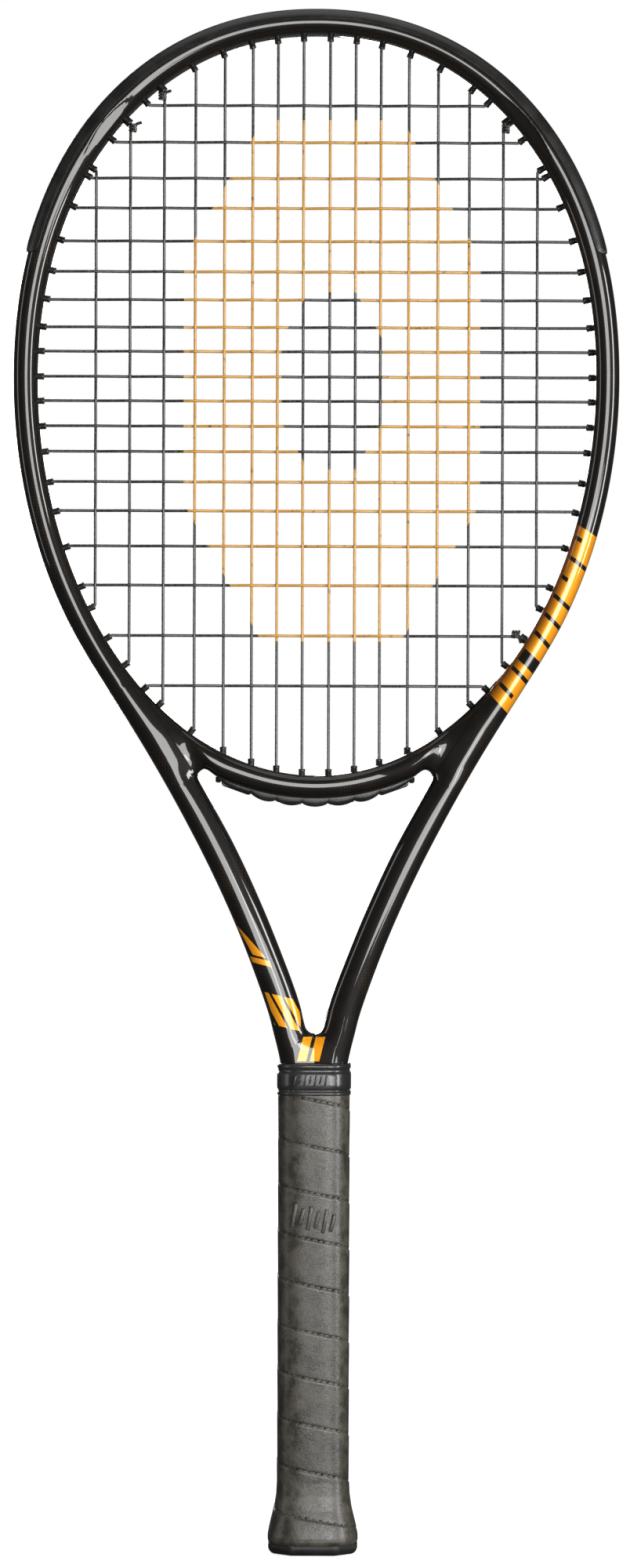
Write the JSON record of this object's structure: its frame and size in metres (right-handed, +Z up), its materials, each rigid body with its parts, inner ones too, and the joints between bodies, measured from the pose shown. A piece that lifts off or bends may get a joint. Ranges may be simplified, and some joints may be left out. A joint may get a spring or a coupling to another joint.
{
  "type": "tennis racket",
  "caption": "Full-size graphite tennis racket with an oval strung head, open throat, wrapped octagonal handle and flared butt cap.",
  "frame": {"origin": "middle of the underside of the butt cap", "axes": "+Z runs up the handle to the top of the head, the strings lie in the XZ plane, and the face looks along -Y"},
  "size_m": [0.2696, 0.0378, 0.6858],
  "materials": {
    "frame": "gloss lacquer over carbon fibre composite",
    "guard": "satin moulded nylon",
    "grommet": "satin moulded nylon",
    "string": "smooth polyester monofilament",
    "foam": "moulded polyurethane foam",
    "cap": "fine grained nylon",
    "steel": "zinc plated",
    "grip": "grained polyurethane on felt",
    "tape": "matt adhesive tape",
    "collar": "smooth moulded rubber"
  },
  "bodies": {
    "racket": {"frame_hairpin": "frame", "throat_bridge": "frame", "bumper_guard": "guard", "left_grommet_strip": "grommet", "right_grommet_strip": "grommet", "bridge_grommet_strip": "grommet", "main_string": "string", "cross_string": "string", "main_knot_left": "string", "main_knot_right": "string", "cross_start_knot": "string", "cross_end_knot": "string", "handle_pallet": "foam", "butt_cap": "cap", "butt_cap_staple_front": "steel", "butt_cap_staple_back": "steel", "grip_tack": "steel", "grip_wrap": "grip", "finishing_tape": "tape", "collar": "collar"},
    "butt_cap_door": {"butt_cap_door": "cap"}
  },
  "joints": [
    {"name": "butt_cap_door_pull", "type": "slide", "parent": "racket", "child": "butt_cap_door", "axis": [0, 0, -1], "range_m": [0, 0.012]}
  ]
}
